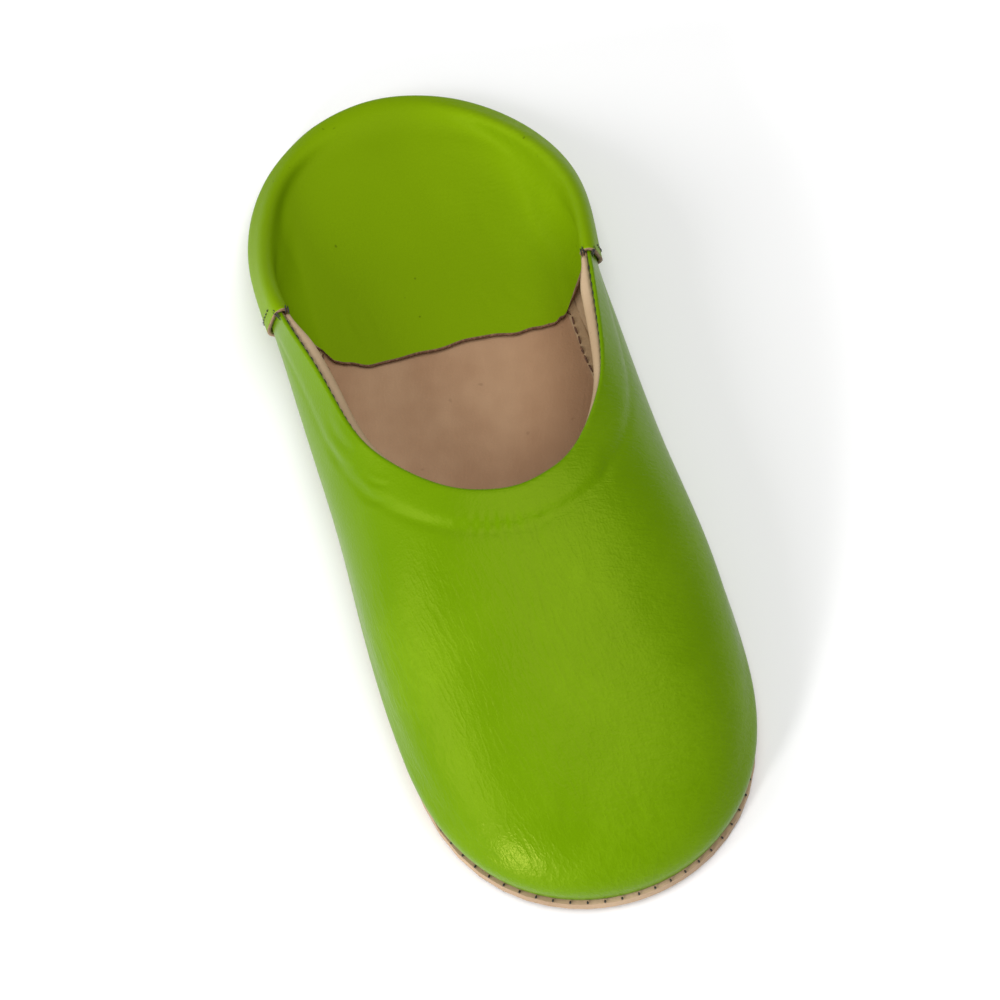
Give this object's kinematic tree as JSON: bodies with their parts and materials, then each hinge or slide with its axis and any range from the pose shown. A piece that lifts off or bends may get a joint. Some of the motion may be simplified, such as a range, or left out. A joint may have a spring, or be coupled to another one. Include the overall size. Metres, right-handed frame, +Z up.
{
  "type": "babouche slipper",
  "caption": "Flat leather babouche slipper with a round toe, an open U-shaped throat and a soft heel folded down onto the insole.",
  "frame": {"origin": "on the floor, under the middle of the slipper's bounding box", "axes": "+Z up from the floor, -Y towards the toe, +X towards the big-toe side of this right slipper"},
  "size_m": [0.1022, 0.2586, 0.0457],
  "materials": {
    "sole_leather": "plain tan sole leather with a cut edge",
    "tan_insole": "matt undyed leather, worn smooth",
    "green_leather": "satin dyed goat leather with a fine grain",
    "tan_lining": "pale matt lining leather, rolled over"
  },
  "bodies": {
    "root": {"outsole": "sole_leather", "insole": "tan_insole", "upper": "green_leather", "heel_flap": "green_leather", "lining_roll": "tan_lining"}
  },
  "joints": []
}
